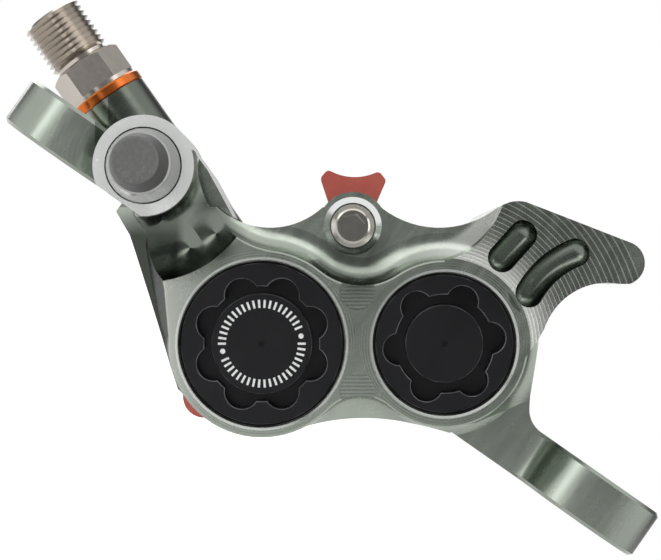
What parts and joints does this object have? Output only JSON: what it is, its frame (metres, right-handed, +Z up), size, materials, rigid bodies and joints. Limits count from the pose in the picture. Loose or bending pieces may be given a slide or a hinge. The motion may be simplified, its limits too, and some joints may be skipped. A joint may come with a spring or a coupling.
{
  "type": "bicycle disc brake caliper",
  "caption": "Post mount hydraulic disc brake caliper for a bicycle: one machined alloy body with opposed pistons, black bore caps, pads on a pin, bleed nipple and threaded hose connector.",
  "frame": {"origin": "on the plane of the two mounting seats, midway between the centres of the bolt slots", "axes": "+X along the ears towards the finned tail, +Y from the outer face with the bore caps to the wheel, +Z up out of the seats"},
  "size_m": [0.0959, 0.0568, 0.0469],
  "materials": {
    "body_alloy": "satin anodised, machined",
    "cap_alloy": "black anodised",
    "seal_rubber": "smooth rubber",
    "steel": "turned steel",
    "spring_steel": "spring steel",
    "stainless": "turned stainless steel",
    "copper": "copper, annealed",
    "backing_steel": "black coated steel",
    "lining": "sintered friction metal",
    "piston_resin": "moulded resin",
    "cap_rubber": "matt grey rubber",
    "spacer_plastic": "moulded red plastic"
  },
  "bodies": {
    "caliper": {"caliper_body": "body_alloy", "large_bore_cap": "cap_alloy", "small_bore_cap": "cap_alloy", "large_cap_seal": "seal_rubber", "small_cap_seal": "seal_rubber", "large_outer_pressure_seal": "seal_rubber", "large_outer_dust_seal": "seal_rubber", "large_inner_pressure_seal": "seal_rubber", "large_inner_dust_seal": "seal_rubber", "small_outer_pressure_seal": "seal_rubber", "small_outer_dust_seal": "seal_rubber", "small_inner_pressure_seal": "seal_rubber", "small_inner_dust_seal": "seal_rubber", "pad_pin": "steel", "pad_pin_clip": "spring_steel", "pad_spring": "spring_steel", "hose_connector": "stainless", "hose_washer": "copper"},
    "outer_pad": {"outer_pad_backing": "backing_steel", "outer_pad_lining": "lining"},
    "inner_pad": {"inner_pad_backing": "backing_steel", "inner_pad_lining": "lining"},
    "bleed_screw": {"bleed_nipple": "stainless"},
    "dust_cap": {"bleed_dust_cap": "cap_rubber"},
    "spacer": {"pad_spacer": "spacer_plastic"},
    "large_outer_piston_body": {"large_outer_piston": "piston_resin"},
    "large_inner_piston_body": {"large_inner_piston": "piston_resin"},
    "small_outer_piston_body": {"small_outer_piston": "piston_resin"},
    "small_inner_piston_body": {"small_inner_piston": "piston_resin"}
  },
  "joints": [
    {"name": "outer_pad_slide", "type": "slide", "parent": "caliper", "child": "outer_pad", "axis": [0, 1, 0], "range_m": [-0.0011, 0.00025]},
    {"name": "inner_pad_slide", "type": "slide", "parent": "caliper", "child": "inner_pad", "axis": [0, -1, 0], "range_m": [-0.0011, 0.00025]},
    {"name": "large_outer_piston_slide", "type": "slide", "parent": "caliper", "child": "large_outer_piston_body", "axis": [0, 1, 0], "range_m": [-0.0011, 0.00025]},
    {"name": "large_inner_piston_slide", "type": "slide", "parent": "caliper", "child": "large_inner_piston_body", "axis": [0, -1, 0], "range_m": [-0.0011, 0.00025]},
    {"name": "small_outer_piston_slide", "type": "slide", "parent": "caliper", "child": "small_outer_piston_body", "axis": [0, 1, 0], "range_m": [-0.0011, 0.00025]},
    {"name": "small_inner_piston_slide", "type": "slide", "parent": "caliper", "child": "small_inner_piston_body", "axis": [0, -1, 0], "range_m": [-0.0011, 0.00025]},
    {"name": "bleed_screw_turn", "type": "hinge", "parent": "caliper", "child": "bleed_screw", "pos_m": [-0.0275, -0.009, 0.005], "axis": [0, -1, 0], "range_deg": [0, 180]},
    {"name": "dust_cap_pull", "type": "slide", "parent": "bleed_screw", "child": "dust_cap", "axis": [0, -1, 0], "range_m": [0, 0.012]},
    {"name": "spacer_pull", "type": "slide", "parent": "caliper", "child": "spacer", "axis": [-0.5721, 0, 0.8202], "range_m": [0, 0.0135]}
  ],
  "couplings": [
    {"joint": "inner_pad_slide", "follows": "outer_pad_slide", "ratio": 1},
    {"joint": "large_outer_piston_slide", "follows": "outer_pad_slide", "ratio": 1},
    {"joint": "large_inner_piston_slide", "follows": "outer_pad_slide", "ratio": 1},
    {"joint": "small_outer_piston_slide", "follows": "outer_pad_slide", "ratio": 1},
    {"joint": "small_inner_piston_slide", "follows": "outer_pad_slide", "ratio": 1}
  ]
}
